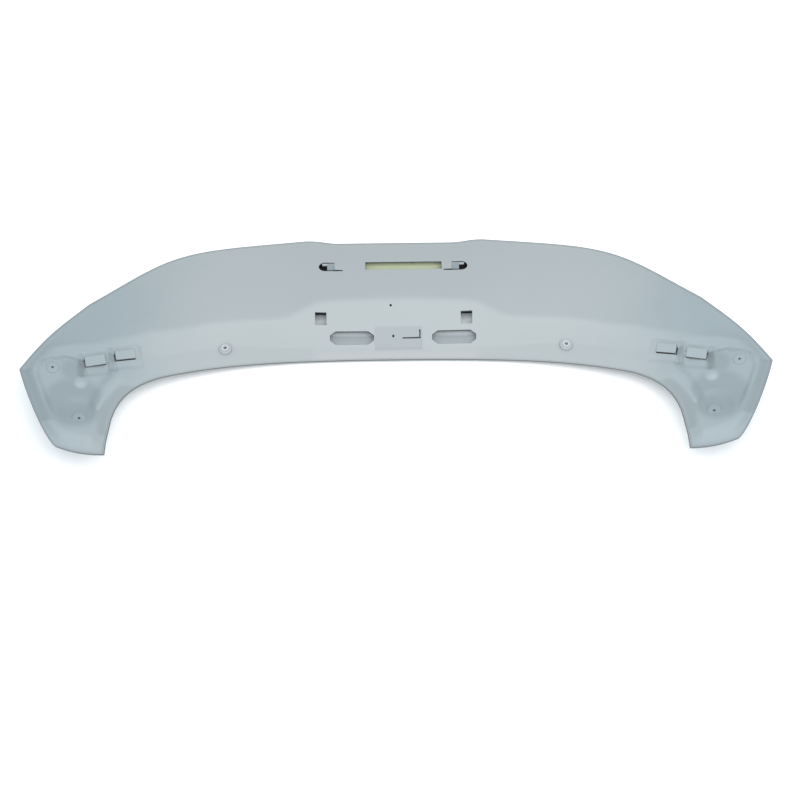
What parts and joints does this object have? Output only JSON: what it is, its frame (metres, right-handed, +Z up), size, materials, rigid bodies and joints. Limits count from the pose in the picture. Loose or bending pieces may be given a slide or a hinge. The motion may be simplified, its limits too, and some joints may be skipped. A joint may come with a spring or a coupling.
{
  "type": "roof spoiler",
  "caption": "Two-shell moulded roof spoiler with arms, crown and ridge, lamp window, clip openings and threaded inserts, shown mounting side up.",
  "frame": {"origin": "centre of the plan box, at the lowest point of the outer skin", "axes": "+X across the spoiler to the right, +Y towards the trailing edge, +Z up and out of the mounting side"},
  "size_m": [1.244, 0.4624, 0.1096],
  "materials": {
    "skin_primer": "grey primer on moulded plastic",
    "panel_primer": "grey primer on moulded plastic",
    "insert_steel": "zinc plated, dull"
  },
  "bodies": {
    "root": {"outer_skin": "skin_primer", "inner_panel": "panel_primer", "front_insert_left": "insert_steel", "front_insert_right": "insert_steel"}
  },
  "joints": []
}
